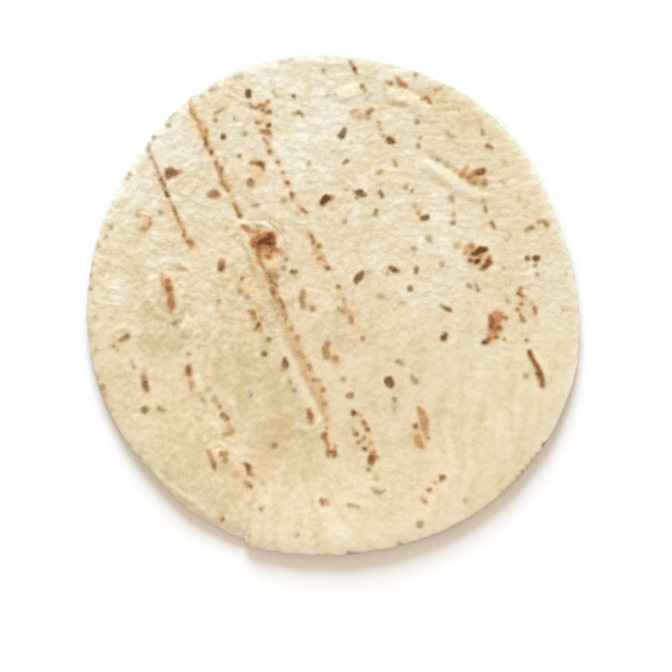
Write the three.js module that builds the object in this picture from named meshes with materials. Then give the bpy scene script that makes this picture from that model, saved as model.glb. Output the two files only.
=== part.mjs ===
// A round lavash: one thin wheat flatbread lying flat, with a wavy rim, folds, blisters and a torn flap.
// Units are millimetres and +Z is up. The origin is on the table, under the middle of the bread's box.
// Angles are in degrees, counted anticlockwise from +X as seen from above.

import * as THREE from "three";
import { mergeVertices } from "three/addons/utils/BufferGeometryUtils.js";

// Driving dimensions
const DIAMETER = 280;
const THICKNESS = 2.2;
const RIM_THICKNESS = 1.5;
const RIM_ROUNDING = 0.7;
const RIM_LIFT = 3.3;
const RIM_FALL = 0.55;
const RIM_FALL_WIDTH = 7;

// The sheet is worked out on a grid of squares, and a fold's crest in short steps
const GRID_SQUARES = 52;
const RIM_STEPS = 2;
const CREST_STEPS = 40;

const RADIUS = DIAMETER / 2;

// The outline leaves the circle by a few lobes: how many go round, how high, and where one of them stands
const OUTLINE_LOBES = [
  { count: 2, height: 1.9, turn: 114 },
  { count: 3, height: 1.6, turn: 89 },
  { count: 4, height: 0.5, turn: 48 },
  { count: 5, height: 0.9, turn: 48 },
  { count: 6, height: 0.4, turn: -8 },
  { count: 7, height: 0.3, turn: -3 },
];

// A short tear at the rim: past it, anticlockwise, a flap stands out and fades back into the outline
const TEAR_ANGLE = 250;
const TEAR_WIDTH = 1.6;
const FLAP_REACH = 5.2;
const FLAP_FADE = 17;

// Before the tear a lip stands out less far: it starts and is full so many degrees before the tear
const LIP_REACH = 2.1;
const LIP_START = 27;
const LIP_FULL = 15;

// The lip hangs lower than the flap, from this share of the radius outwards, and fades over so many degrees
const DIP_DEPTH = 2;
const DIP_START = 0.88;
const DIP_FADE = 9;

// The rim rises off the table from this share of the radius outwards, more in some places than in others,
// and its upper face falls again near the edge
const CURL_START = 0.6;
const RIM_WAVES = [
  { count: 1, height: 2, turn: -88 },
  { count: 2, height: 0.7, turn: 2 },
  { count: 3, height: 0.25, turn: 35 },
  { count: 4, height: 0.25, turn: 12 },
  { count: 7, height: 0.2, turn: 20 },
];
const FALL_WAVES = [{ count: 1, height: 0.45, turn: 195 }];

// Folds lift the whole sheet along a crest through a few points, and fade out towards its ends
const FOLDS = [
  { through: [[42, 84], [66, 70], [90, 57]], height: 0.8, reach: 6 },
  { through: [[26, 122], [46, 113], [66, 101]], height: 0.8, reach: 7 },
  { through: [[-52, 45], [-35, 3], [-25, -30], [-10, -68]], height: 0.7, reach: 7 },
  { through: [[-32, -88], [-37, -112], [-38, -140]], height: 1.2, reach: 9 },
  { through: [[-106, 30], [-94, 4], [-80, -40]], height: 0.9, reach: 10 },
  { through: [[-104, -62], [-84, -86], [-54, -108]], height: 1.6, reach: 30 },
  { through: [[60, -104], [96, -70], [118, -18]], height: 1.1, reach: 32 },
];

// The dough is uneven: long low waves in its upper face, each with its length, height, direction and start
const SWELLS = [
  { length: 61, height: 0.16, turn: 25, start: 10 },
  { length: 43, height: 0.13, turn: 118, start: 75 },
  { length: 29, height: 0.1, turn: 71, start: 200 },
];

// Blisters swell the upper face: their middle, length, width, the turn of their length, and height
const BLISTERS = [
  { at: [-40, 35], length: 22, width: 17, turn: -60, height: 1.7 },
  { at: [-35, 22], length: 12, width: 10, turn: -60, height: 0.8 },
  { at: [-94, 6], length: 30, width: 18, turn: -80, height: 1.0 },
  { at: [-82, -15], length: 14, width: 11, turn: 0, height: 0.8 },
  { at: [-124, 4], length: 32, width: 18, turn: 85, height: 0.9 },
  { at: [-107, 47], length: 13, width: 12, turn: 0, height: 0.7 },
  { at: [-48, 74], length: 20, width: 15, turn: 70, height: 0.8 },
  { at: [82, 28], length: 22, width: 20, turn: 0, height: 1.1 },
  { at: [90, -12], length: 24, width: 15, turn: 70, height: 0.9 },
  { at: [78, 73], length: 19, width: 14, turn: -20, height: 1.1 },
  { at: [49, -69], length: 30, width: 14, turn: 85, height: 0.8 },
  { at: [8, 118], length: 17, width: 13, turn: 10, height: 0.9 },
  { at: [116, -37], length: 26, width: 12, turn: -65, height: 0.8 },
  { at: [-61, -68], length: 20, width: 13, turn: -60, height: 0.8 },
  { at: [-63, -87], length: 19, width: 14, turn: -20, height: 0.8 },
  { at: [-82, -33], length: 20, width: 12, turn: -85, height: 0.7 },
];

const UP = new THREE.Vector3(0, 0, 1);
const radians = THREE.MathUtils.degToRad;
const smooth = (from, to, value) => THREE.MathUtils.smoothstep(value, from, to);

// Sum of lobes at an angle round the rim
function lobesAt(lobes, angle) {
  const heightAt = ({ count, height, turn }) => height * Math.cos(count * radians(angle - turn));
  return lobes.reduce((sum, lobe) => sum + heightAt(lobe), 0);
}

// How far an angle lies past the tear, from -180 to 180
function pastTear(angle) {
  return THREE.MathUtils.euclideanModulo(angle - TEAR_ANGLE + 180, 360) - 180;
}

// How far the rim is from the middle at an angle
function rimRadius(angle) {
  const past = pastTear(angle);
  const opened = smooth(-TEAR_WIDTH / 2, TEAR_WIDTH / 2, past);
  const flap = FLAP_REACH * Math.exp(-Math.max(past, 0) / FLAP_FADE);
  const lip = LIP_REACH * smooth(-LIP_START, -LIP_FULL, past);
  return RADIUS + lobesAt(OUTLINE_LOBES, angle) + THREE.MathUtils.lerp(lip, flap, opened);
}

// How far the sheet hangs lower before the tear, ever steeper towards the rim
function dipBeforeTear(angle, share) {
  const before = -pastTear(angle);
  const beside = smooth(0, 1, before) * Math.exp(-Math.max(before, 0) / DIP_FADE);
  const outwards = Math.max((share - DIP_START) / (1 - DIP_START), 0);
  return DIP_DEPTH * beside * outwards ** 2;
}

// How far the upper face falls near the rim, ever steeper towards its edge
function fallAtRim(angle, share) {
  const outwards = Math.max(1 - ((1 - share) * RADIUS) / RIM_FALL_WIDTH, 0);
  return (RIM_FALL + lobesAt(FALL_WAVES, angle)) * outwards ** 2;
}

// A round-topped profile: 1 at its middle, 0 from a distance of 1 outwards
function mound(distance) {
  return distance < 1 ? (1 - distance ** 2) ** 2 : 0;
}

// A fold as a function of a point: the highest of the mounds that stand along its crest
function foldHeight({ through, height, reach }) {
  const crest = new THREE.CatmullRomCurve3(through.map(([x, y]) => new THREE.Vector3(x, y, 0)));
  const stations = crest.getSpacedPoints(CREST_STEPS);
  const heights = stations.map((station, i) => height * Math.sin((Math.PI * i) / CREST_STEPS));
  return (point) => {
    const mounds = stations.map((station, i) => heights[i] * mound(station.distanceTo(point) / reach));
    return Math.max(...mounds);
  };
}

// A blister as a function of a point: one mound on an oval
function blisterHeight({ at, length, width, turn, height }) {
  const middle = new THREE.Vector3(...at, 0);
  return (point) => {
    const offset = point.clone().sub(middle).applyAxisAngle(UP, -radians(turn));
    return height * mound(Math.hypot(offset.x / (length / 2), offset.y / (width / 2)));
  };
}

// A swell of the dough as a function of a point
function swellHeight({ length, height, turn, start }) {
  const across = new THREE.Vector3(Math.cos(radians(turn)), Math.sin(radians(turn)), 0);
  return (point) => height * Math.sin((2 * Math.PI * point.dot(across)) / length + radians(start));
}

const folds = FOLDS.map(foldHeight);
const blisters = BLISTERS.map(blisterHeight);
const swells = SWELLS.map(swellHeight);

const sumAt = (heights, point) => heights.reduce((sum, heightAt) => sum + heightAt(point), 0);

// Heights of the sheet's two faces at a point; share is how far out it lies, 0 in the middle and 1 at the rim
function facesAt(point, angle, share) {
  const towardsRim = smooth(CURL_START, 1, share);
  const rimLift = RIM_LIFT + lobesAt(RIM_WAVES, angle);
  const sheet = rimLift * towardsRim + sumAt(folds, point) - dipBeforeTear(angle, share);
  const thickness = THREE.MathUtils.lerp(THICKNESS, RIM_THICKNESS, towardsRim);
  const relief = sumAt(blisters, point) + sumAt(swells, point) * (1 - share);
  const fall = fallAtRim(angle, share);
  return { under: Math.max(sheet - fall / 2, 0), upper: sheet + thickness + relief - fall };
}

// The angle on the disc of a point of the square from -1 to 1, whose square rings become round ones
function angleOnDisc(u, v) {
  if (u === 0 && v === 0) return 0;
  const sideways = Math.abs(u) > Math.abs(v);
  const eighths = sideways ? v / u : 2 - u / v;
  const opposite = sideways ? u < 0 : v < 0;
  return 45 * eighths + (opposite ? 180 : 0);
}

// The bread: a box of grid squares, its upper and lower sides pressed into the two faces of the sheet
function breadGeometry() {
  const box = new THREE.BoxGeometry(2, 2, 2, GRID_SQUARES, GRID_SQUARES, RIM_STEPS);
  box.deleteAttribute("normal");
  box.deleteAttribute("uv");
  const geometry = mergeVertices(box);
  const places = geometry.getAttribute("position");
  for (let i = 0; i < places.count; i++) {
    const [u, v, side] = [places.getX(i), places.getY(i), places.getZ(i)];
    const share = Math.max(Math.abs(u), Math.abs(v));
    const angle = angleOnDisc(u, v);
    const reach = share * (rimRadius(angle) - RIM_ROUNDING * Math.abs(side));
    const point = new THREE.Vector3(reach * Math.cos(radians(angle)), reach * Math.sin(radians(angle)), 0);
    const { under, upper } = facesAt(point, angle, share);
    places.setXYZ(i, point.x, point.y, THREE.MathUtils.lerp(under, upper, (side + 1) / 2));
  }
  geometry.computeBoundingBox();
  const middle = geometry.boundingBox.getCenter(new THREE.Vector3());
  geometry.translate(-middle.x, -middle.y, 0);
  geometry.computeVertexNormals();
  return geometry;
}

const crust = new THREE.MeshStandardMaterial({ color: 0xe6d6b4, roughness: 0.85, metalness: 0 });

const lavash = new THREE.Mesh(breadGeometry(), crust);
lavash.name = "lavash";

const bread = new THREE.Group();
bread.add(lavash);

export default bread;
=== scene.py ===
"""A round lavash: one thin wheat flatbread with scorched rows, blisters and a floury crust, on a pale table.

The bread's form is worked out in millimetres from the middle of its outline, and +Y points to the upper edge
of the photograph. Scorch marks are placed by pixels of its 672 by 672 frame and laid on the bread by the
bread's diameter.
"""

import math
from typing import NamedTuple

import bmesh
import bpy
import numpy as np
from bpy.props import FloatProperty, FloatVectorProperty, IntProperty, PointerProperty
from mathutils import Matrix, Vector


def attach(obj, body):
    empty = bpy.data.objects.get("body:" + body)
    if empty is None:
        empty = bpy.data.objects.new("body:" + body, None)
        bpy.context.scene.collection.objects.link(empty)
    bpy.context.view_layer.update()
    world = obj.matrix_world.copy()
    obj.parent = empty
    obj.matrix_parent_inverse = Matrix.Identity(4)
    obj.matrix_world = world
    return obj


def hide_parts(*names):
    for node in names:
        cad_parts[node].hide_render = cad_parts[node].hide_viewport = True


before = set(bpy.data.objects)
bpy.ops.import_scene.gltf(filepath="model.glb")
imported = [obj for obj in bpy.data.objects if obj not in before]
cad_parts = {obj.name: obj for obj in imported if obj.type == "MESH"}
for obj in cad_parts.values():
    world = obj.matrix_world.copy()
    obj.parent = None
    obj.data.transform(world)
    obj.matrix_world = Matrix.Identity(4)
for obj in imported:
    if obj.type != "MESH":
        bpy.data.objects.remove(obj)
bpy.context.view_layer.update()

bl_info = {
    "name": "Lavash",
    "version": (1, 0, 0),
    "blender": (4, 5, 0),
    "location": "View3D > Sidebar > Lavash",
    "description": "Bakes one round lavash and sets it on a pale table",
    "category": "Add Mesh",
}

MM = 0.001

# The photograph in pixels: its side, the middle of the bread's outline, and the bread's mean diameter
PHOTO_SIDE = 672
PHOTO_MIDDLE = (333.4, 304.5)
PHOTO_DIAMETER = 495.1


class Lobe(NamedTuple):
    """A wave round the rim: how many go round, how high in millimetres, and where one stands in degrees."""

    count: int
    height: float
    turn: float


class Fold(NamedTuple):
    """A crest through a few points of the bread, its height, and how far its flanks reach."""

    through: tuple
    height: float
    reach: float


class Blister(NamedTuple):
    """A swelling of the upper face: its middle, length, width, the turn of its length, and its height."""

    at: tuple
    length: float
    width: float
    turn: float
    height: float


class Swell(NamedTuple):
    """A long low wave in the dough: its length, height, direction and start."""

    length: float
    height: float
    turn: float
    start: float


# Form of the sheet, in millimetres and degrees
OUTLINE_LOBES = (
    Lobe(2, 1.9, 114),
    Lobe(3, 1.6, 89),
    Lobe(4, 0.5, 48),
    Lobe(5, 0.9, 48),
    Lobe(6, 0.4, -8),
    Lobe(7, 0.3, -3),
)
RIM_WAVES = (Lobe(1, 2, -88), Lobe(2, 0.7, 2), Lobe(3, 0.25, 35), Lobe(4, 0.25, 12), Lobe(7, 0.2, 20))
FALL_WAVES = (Lobe(1, 0.45, 195),)
FOLDS = (
    Fold(((42, 84), (66, 70), (90, 57)), 0.8, 6),
    Fold(((26, 122), (46, 113), (66, 101)), 0.8, 7),
    Fold(((-52, 45), (-35, 3), (-25, -30), (-10, -68)), 0.7, 7),
    Fold(((-32, -88), (-37, -112), (-38, -140)), 1.2, 9),
    Fold(((-106, 30), (-94, 4), (-80, -40)), 0.9, 10),
    Fold(((-104, -62), (-84, -86), (-54, -108)), 1.6, 30),
    Fold(((60, -104), (96, -70), (118, -18)), 1.1, 32),
)
SWELLS = (Swell(61, 0.16, 25, 10), Swell(43, 0.13, 118, 75), Swell(29, 0.1, 71, 200))
BLISTERS = (
    Blister((-40, 35), 22, 17, -60, 1.7),
    Blister((-35, 22), 12, 10, -60, 0.8),
    Blister((-94, 6), 30, 18, -80, 1.0),
    Blister((-82, -15), 14, 11, 0, 0.8),
    Blister((-124, 4), 32, 18, 85, 0.9),
    Blister((-107, 47), 13, 12, 0, 0.7),
    Blister((-48, 74), 20, 15, 70, 0.8),
    Blister((82, 28), 22, 20, 0, 1.1),
    Blister((90, -12), 24, 15, 70, 0.9),
    Blister((78, 73), 19, 14, -20, 1.1),
    Blister((49, -69), 30, 14, 85, 0.8),
    Blister((8, 118), 17, 13, 10, 0.9),
    Blister((116, -37), 26, 12, -65, 0.8),
    Blister((-61, -68), 20, 13, -60, 0.8),
    Blister((-63, -87), 19, 14, -20, 0.8),
    Blister((-82, -33), 20, 12, -85, 0.7),
)

# Marks are strokes through stations of (x, y, width, heat): photo pixels, and a heat of 0 to 1 or just over.
# Beads: small scorches in rows, where bumps of the dough touched the hot ribs of the griddle
BEADS = (
    ((152, 158, 3.5, 0.6),),
    ((157, 168, 3, 0.5), (158, 171, 3, 0.5)),
    ((161.5, 179.5, 5, 0.92), (164.5, 186.5, 3.5, 0.7)),
    ((166, 192, 4, 0.85), (168, 196.5, 4.5, 0.95)),
    ((174.5, 208, 3.5, 0.6), (176, 214, 4.5, 0.75)),
    ((184, 230, 4, 0.55), (185, 235.5, 4.5, 0.65)),
    ((189, 241, 6, 0.5), (191, 244, 7, 0.55), (190.5, 248, 5, 0.35)),
    ((190.5, 103, 3, 0.4), (191.5, 110, 4.5, 0.45), (194, 116, 4.5, 0.5), (197.5, 121, 3.5, 0.6)),
    ((201, 130, 3.5, 0.5), (204, 136, 3, 0.5)),
    ((206.5, 130, 4, 0.54), (205, 138, 4.5, 0.6), (206, 145, 5, 0.78), (211.5, 153.5, 5, 0.8)),
    ((216.5, 163.5, 4.5, 0.7), (218, 167, 4, 0.5)),
    ((222, 169, 4.5, 0.6), (220.5, 175, 4.5, 0.42), (223, 182, 5, 0.48), (225, 187, 5, 0.56),
     (228.5, 190, 4.5, 0.66)),
    ((218.5, 171, 4, 0.45), (222, 184, 3.5, 0.45)),
    ((234, 203.5, 4, 0.5), (236.5, 209, 4.5, 0.6), (240, 216, 5.5, 0.7)),
    ((243.5, 227.5, 5, 0.56), (247.5, 229.5, 6.5, 0.58), (250.5, 231.5, 6, 0.42)),
    ((258, 257, 4, 0.45), (261, 263, 4, 0.42), (263, 268, 3, 0.42)),
    ((267, 273.5, 5, 0.5), (271.5, 276.5, 7, 0.56), (277, 277.5, 6, 0.56)),
    ((270.5, 281.5, 6, 0.5), (277, 286, 5, 0.54)),
    ((271, 289, 5, 0.44), (273.5, 292.5, 6.5, 0.64)),
    ((280, 299, 5, 0.6), (283.5, 306, 5.5, 0.65)),
    ((284, 312, 3, 0.35), (286, 318, 3.5, 0.45), (286, 323, 3, 0.35)),
    ((291.5, 329.5, 7, 0.5),),
    ((297, 338.5, 7, 0.46), (296, 343, 5, 0.3)),
    ((300, 352.5, 8, 0.4), (303, 357, 6, 0.4)),
    ((309, 366, 6, 0.5), (311, 370, 5, 0.44)),
    ((313.5, 380.5, 6, 0.5), (319.5, 380.5, 4, 0.42)),
    ((322.5, 389.5, 7, 0.5),),
    ((325, 403.5, 6, 0.5),),
    ((327, 418, 3, 0.45), (326.5, 428, 4, 0.55)),
    ((249.5, 104, 3.5, 0.45), (252, 107.5, 4, 0.52), (257, 108, 4.5, 0.7), (260, 105, 4, 0.5),
     (268, 102, 4.5, 0.55)),
    ((264, 106, 6, 0.5),),
    ((262.5, 110, 5, 0.75), (265, 112, 4, 0.4), (270, 112.5, 5.5, 0.75)),
    ((257, 123, 4.5, 0.6), (261.5, 122.5, 3.5, 0.5)),
    ((262, 132, 5, 0.5), (268, 133, 7, 0.6), (271, 135, 4, 0.45)),
    ((264, 139, 3, 0.55), (267, 144, 3.5, 0.5), (270, 152.5, 5, 0.75)),
    ((278, 163, 5, 0.6),),
    ((283, 173, 4, 0.45),),
    ((284, 183, 3.5, 0.4), (287.5, 183.5, 5, 0.7)),
    ((292, 194.5, 5.5, 0.65), (293, 200, 4, 0.4)),
    ((297, 206, 3, 0.35), (302, 210, 4, 0.65), (306, 212.5, 3.5, 0.6)),
    ((308, 231, 4, 0.45),),
    ((311, 236.5, 4.5, 0.58), (313.5, 242.5, 4.5, 0.62)),
    ((319.5, 246, 4.5, 0.68), (316, 249, 3, 0.4)),
    ((318, 259, 4, 0.55), (323, 257, 3, 0.45)),
    ((324, 266, 4, 0.35), (328, 268.5, 4.5, 0.7)),
    ((338.5, 287, 4.5, 0.55),),
    ((344, 300, 4.5, 0.45),),
    ((338, 308, 3.5, 0.35), (343, 312, 4, 0.5), (351, 318.5, 6, 0.55), (352, 323, 4.5, 0.4)),
    ((363, 338, 6, 0.45),),
    ((350.5, 62.5, 3.5, 0.65), (354, 69, 4.5, 0.85), (356.5, 74, 3.5, 0.6)),
    ((389, 141, 7.5, 0.8), (391.5, 141.5, 7, 0.78)),
    ((412, 191, 4, 0.6),),
    ((414, 205.5, 4.5, 0.45), (418, 213.5, 4, 0.45)),
    ((353.5, 413, 6.5, 0.85), (361, 415.5, 3.5, 0.35)),
    ((363.5, 422, 5, 0.55), (367.5, 429.5, 5.5, 0.7)),
    ((352.5, 428, 3, 0.3), (356, 434, 5.5, 0.55)),
    ((358, 443, 4.5, 0.5), (364, 438, 4.5, 0.5)),
    ((364.5, 448.5, 5.5, 0.65),),
    ((250, 311.5, 5, 0.46), (253, 313.5, 6.5, 0.56), (254.5, 319, 5.5, 0.42)),
    ((259, 325, 5.5, 0.75), (256.5, 329, 4.5, 0.5)),
    ((240, 156.5, 4.5, 0.62),),
    ((251, 163.5, 4.5, 0.62), (256, 163.5, 5, 0.66), (261, 164.5, 6.5, 0.86), (263.5, 169, 5, 0.65)),
    ((128, 336.5, 6.5, 0.66), (121.5, 341, 4.5, 0.42)),
    ((229, 424, 6, 0.3), (232, 432, 6, 0.42), (225, 434, 5.5, 0.42)),
    ((221.5, 453.5, 6, 0.54), (226, 453, 6, 0.5), (226, 460, 6, 0.44)),
    ((209, 451.5, 5, 0.46), (212, 458, 5, 0.42), (215, 464.5, 6, 0.58), (215.5, 468, 5, 0.46)),
    ((246, 483, 4.5, 0.45), (251, 485.5, 5.5, 0.54)),
    ((245.5, 464, 5, 0.6), (249, 467, 7, 0.74), (250, 473, 5, 0.58), (254, 475, 4, 0.42)),
    ((263, 482.5, 4.5, 0.36),),
    ((521, 304.5, 4.5, 0.56),),
    ((517.5, 310, 5, 0.52),),
    ((531, 304, 4, 0.44),),
    ((533.5, 308.5, 4.5, 0.6), (534.5, 313.5, 4.5, 0.6)),
    ((520.5, 315.5, 4, 0.52), (522.5, 320, 4.5, 0.6)),
    ((537.5, 223, 5.5, 0.5), (543, 221, 4, 0.5), (545.5, 225, 5, 0.62)),
    ((453.5, 214.5, 5, 0.45), (452.5, 224, 5, 0.62)),
    ((348, 396, 5, 0.5), (351.5, 395, 6, 0.56)),
    ((294.5, 390, 5, 0.48),),
    ((303.5, 293, 7, 0.42), (302, 300, 6.5, 0.55), (303.5, 306, 7, 0.48)),
    ((308, 307, 4, 0.34), (312.5, 309, 6.5, 0.46)),
    ((328, 343, 6.5, 0.49), (325, 349.5, 8, 0.46), (327, 356, 8.5, 0.46)),
    ((331.5, 358.5, 5, 0.42), (335.5, 359, 7, 0.48)),
    ((238, 286, 5, 0.22), (241, 292, 6, 0.42)),
    ((247, 297, 6, 0.38),),
    ((520.5, 288, 4, 0.55), (518, 293.5, 5, 0.7), (523, 297.5, 4, 0.42)),
    ((352, 113, 4.5, 0.45), (355, 111, 4.5, 0.45), (368, 113, 5.5, 0.6), (371.5, 110.5, 5, 0.55)),
    ((386, 82, 4, 0.4), (390, 84, 5, 0.65), (394, 84.5, 3.5, 0.5)),
    ((421, 100, 4.5, 0.45), (427, 99, 5, 0.65), (429.5, 103, 5, 0.6)),
    ((526, 231, 4.5, 0.5), (531.5, 228, 5, 0.6)),
    ((354, 117, 5, 0.34), (360, 117.5, 6, 0.34), (367, 118.5, 5, 0.44)),
    ((397, 81, 6, 0.45), (399.5, 83.5, 6, 0.62), (404.5, 86.5, 5.5, 0.56)),
    ((236, 473, 9, 0.26),),
    ((398, 361.5, 5, 0.55), (401.5, 364, 5, 0.45)),
    ((434.5, 482, 4, 0.42),),
    ((429, 489.5, 5, 0.72),),
    ((422, 498, 4, 0.45), (425, 501, 4.5, 0.5)),
)

# Burns: larger reddish scorches on blisters that lay on the griddle
BURNS = (
    ((168.5, 177, 8, 0.68), (171, 173, 12, 0.72), (176, 173.5, 8, 0.64), (181, 171.5, 4.5, 0.55)),
    ((210.5, 195, 7, 0.48), (214.5, 194, 9, 0.6), (218, 196, 6, 0.6)),
    ((250.5, 180.5, 6, 0.57), (251, 183.5, 9, 0.38)),
    ((162.5, 276, 5, 0.35), (163.5, 286, 5.5, 0.42)),
    ((168, 281.5, 7, 0.58), (169, 288, 9.5, 0.62), (171, 294, 8, 0.58)),
    ((171, 299, 7, 0.58), (172, 304, 8, 0.62), (171.5, 310, 5, 0.44)),
    ((470, 177, 8, 0.45), (475.5, 172.5, 7, 0.76), (482, 172, 7, 0.85)),
    ((472, 178, 15, 0.25),),
    ((484, 180, 5, 0.42),),
    ((472, 254.5, 5, 0.85), (476, 253, 6, 0.95), (480, 250.5, 7.5, 1), (484.5, 249.5, 6, 0.85)),
    ((471, 246, 8, 0.58), (472, 251, 6, 0.5)),
    ((465.5, 252.5, 5.5, 0.55),),
    ((470, 250, 14, 0.3), (477, 257, 13, 0.42)),
    ((470, 260.5, 5.5, 0.75),),
    ((476.5, 261.5, 6.5, 0.95),),
    ((489, 257.5, 4.5, 0.68), (488, 262.5, 7, 0.76), (485, 266.5, 7, 0.74), (481.5, 269, 5, 0.6)),
    ((491, 335, 11, 0.28), (487.5, 341, 6, 0.6)),
    ((491, 317, 6.5, 0.76), (491.5, 327, 7, 0.8)),
    ((500, 316.5, 5, 0.55), (505, 318, 5, 0.68)),
    ((494, 330.5, 4, 0.62),),
    ((499.5, 328, 6.5, 0.72),),
    ((495.5, 336, 6, 0.56),),
    ((489, 339.5, 5.5, 0.72), (484.5, 342, 6.5, 0.92)),
    ((528.5, 352, 5, 0.78), (531, 358, 5, 0.75), (533.5, 363, 5, 0.82), (536.5, 368, 5.5, 0.82)),
    ((538, 373, 8, 0.82), (540.5, 379, 5.5, 0.78), (541.5, 385, 5.5, 0.68)),
    ((418.5, 407.5, 5.5, 0.46), (422, 413.5, 9, 0.48), (424, 420, 10, 0.48), (425.5, 430, 7, 0.42)),
    ((415.5, 425.5, 6, 0.75),),
    ((425.5, 430, 7, 0.42), (425.5, 434, 5, 0.34)),
    ((417.5, 436, 7, 0.36), (418, 441, 8, 0.36), (421.5, 446, 6, 0.44)),
    ((427.5, 437.5, 4.5, 0.5),),
    ((372.5, 453, 7, 0.44), (372, 458, 9, 0.76), (371, 462, 7, 0.6)),
    ((377, 457, 5, 0.5),),
    ((324, 435, 7.5, 0.72), (326, 441, 4, 0.5), (328, 445, 3.5, 0.55), (328.5, 455, 5, 0.65)),
    ((335, 446, 3, 0.55), (334.5, 455, 5, 0.75)),
    ((328.5, 452, 5, 0.75), (334.5, 452, 5, 0.8)),
    ((308.5, 410, 5, 0.65), (310.5, 416, 7.5, 0.72), (311, 422, 6, 0.35)),
    ((138.5, 216.5, 4, 0.42), (145, 216.5, 4, 0.4), (150, 219, 5, 0.46), (150.5, 224, 4.5, 0.44),
     (148, 228, 4, 0.38), (144, 230, 5, 0.48), (139, 229, 4, 0.3)),
    ((189, 366.5, 4.5, 0.7), (188.5, 371, 6, 0.78), (190.5, 374.5, 4, 0.62)),
    ((192, 383, 7, 0.44), (192, 390, 4, 0.32)),
    ((222, 262, 7, 0.6), (221.5, 268, 8, 0.78)),
    ((321.5, 499, 5, 0.65), (323, 503, 5, 0.7), (325, 500, 5, 0.5), (328, 503, 4, 0.4)),
    ((461, 176, 6, 0.46), (466.5, 167.5, 6, 0.42)),
    ((473.5, 183.5, 5, 0.38),),
    ((457.5, 245.5, 8, 0.3),),
    ((442, 264.5, 7, 0.36),),
)

# Embers: the reddest scorches, on the highest blister and on one at the right
EMBERS = (
    ((251, 232, 6, 0.36), (254, 232, 6, 0.42), (259, 231.5, 6, 0.44)),
    ((252, 243.5, 5, 0.4), (255, 239.5, 7, 0.5), (254.5, 246, 7, 0.44)),
    ((258, 239, 10, 0.48), (264, 239, 10, 0.5), (269, 240, 11, 0.6)),
    ((260, 235.5, 6, 0.48), (267, 235, 6, 0.54), (270.5, 235.5, 7, 0.72), (273.5, 237, 6, 0.66)),
    ((273.5, 239, 6, 0.64), (273.5, 243, 6, 0.62), (273, 248.5, 6, 0.56)),
    ((257.5, 245, 6, 0.62), (262, 242, 6.5, 0.88), (266, 239.5, 6.5, 0.88), (270, 237.5, 6, 0.76)),
    ((266, 243, 7, 0.7), (270, 243, 7, 0.66), (270.5, 246.5, 6, 0.54)),
    ((258.5, 249, 6, 0.48), (262, 247, 7, 0.48), (266, 247, 7, 0.38)),
    ((259, 251, 6, 0.36), (263, 251.5, 5, 0.22), (267, 251, 5, 0.2), (270.5, 251, 6, 0.38)),
    ((276, 250, 6, 0.46), (281.5, 251.5, 5, 0.36)),
    ((258, 256, 6, 0.42), (260.5, 262, 5, 0.36), (262.5, 267, 4, 0.38)),
    ((266, 255.5, 5, 0.38), (269.5, 258, 6, 0.5)),
    ((497, 316, 13, 0.36), (494, 325, 13, 0.48), (491, 335, 10, 0.24)),
)

# Lines: thin scorches that join beads into rows, and one stroke of painted shadow round the highest blister
LINES = (
    ((152, 157, 3, 0.3), (157, 169, 4.5, 0.5), (161, 180, 4.5, 0.5), (166, 193, 4.5, 0.55),
     (172, 206, 4, 0.45), (177, 217, 4.5, 0.48), (184, 232, 4.5, 0.46), (187.5, 240, 5, 0.36)),
    ((189.5, 104, 3, 0.45), (192.5, 112, 4, 0.45), (198, 123, 4.5, 0.34), (203.5, 137, 4.5, 0.34),
     (211, 154, 4.5, 0.54)),
    ((216.5, 165, 3.5, 0.42), (220.5, 176, 4.5, 0.48), (224, 184, 4.5, 0.48), (228, 190, 4, 0.5)),
    ((236, 206, 2.5, 0.4), (240, 215, 3, 0.45)),
    ((266, 274, 7, 0.4), (272, 284, 9, 0.42), (274.5, 293, 8, 0.44), (281, 304, 8, 0.4), (286, 320, 7, 0.32)),
    ((308, 231, 6, 0.2), (313, 242, 7, 0.22), (318, 254, 7, 0.22), (326, 267, 6, 0.2)),
    ((339, 299, 6, 0.18), (345, 310, 8, 0.25), (351, 320, 7, 0.28)),
    ((259, 250, 4, 0.4), (262, 264, 3.5, 0.4), (266, 273, 4, 0.4)),
    # Painted shadow just outside the raised rim of the highest blister
    ((247, 220.5, 2.5, 0.2), (255, 219, 2.5, 0.4), (266, 220.5, 2.5, 0.58), (276, 227.5, 2.5, 0.58),
     (282, 233.5, 2.5, 0.42), (285.5, 241, 2.5, 0.25), (286.5, 250, 2.5, 0.2)),
)

# Painted shade: soft tan bands along the shaded side of the longest fold
FOLD_SHADE_BANDS = (
    ((249, 250, 6, 0.14), (254, 262, 7, 0.2), (258, 273, 7, 0.2), (265, 286, 6, 0.14), (269, 296, 6, 0.14),
     (276, 311, 8, 0.19), (281, 322, 9, 0.19), (288, 338, 10, 0.18)),
    ((288, 327, 8, 0.22), (295, 344, 11, 0.2), (300, 356, 11, 0.24), (306, 370, 12, 0.27),
     (313, 384, 13, 0.27), (319, 396, 11, 0.25), (323, 406, 8, 0.27), (326.5, 420, 5, 0.33)),
)

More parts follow.
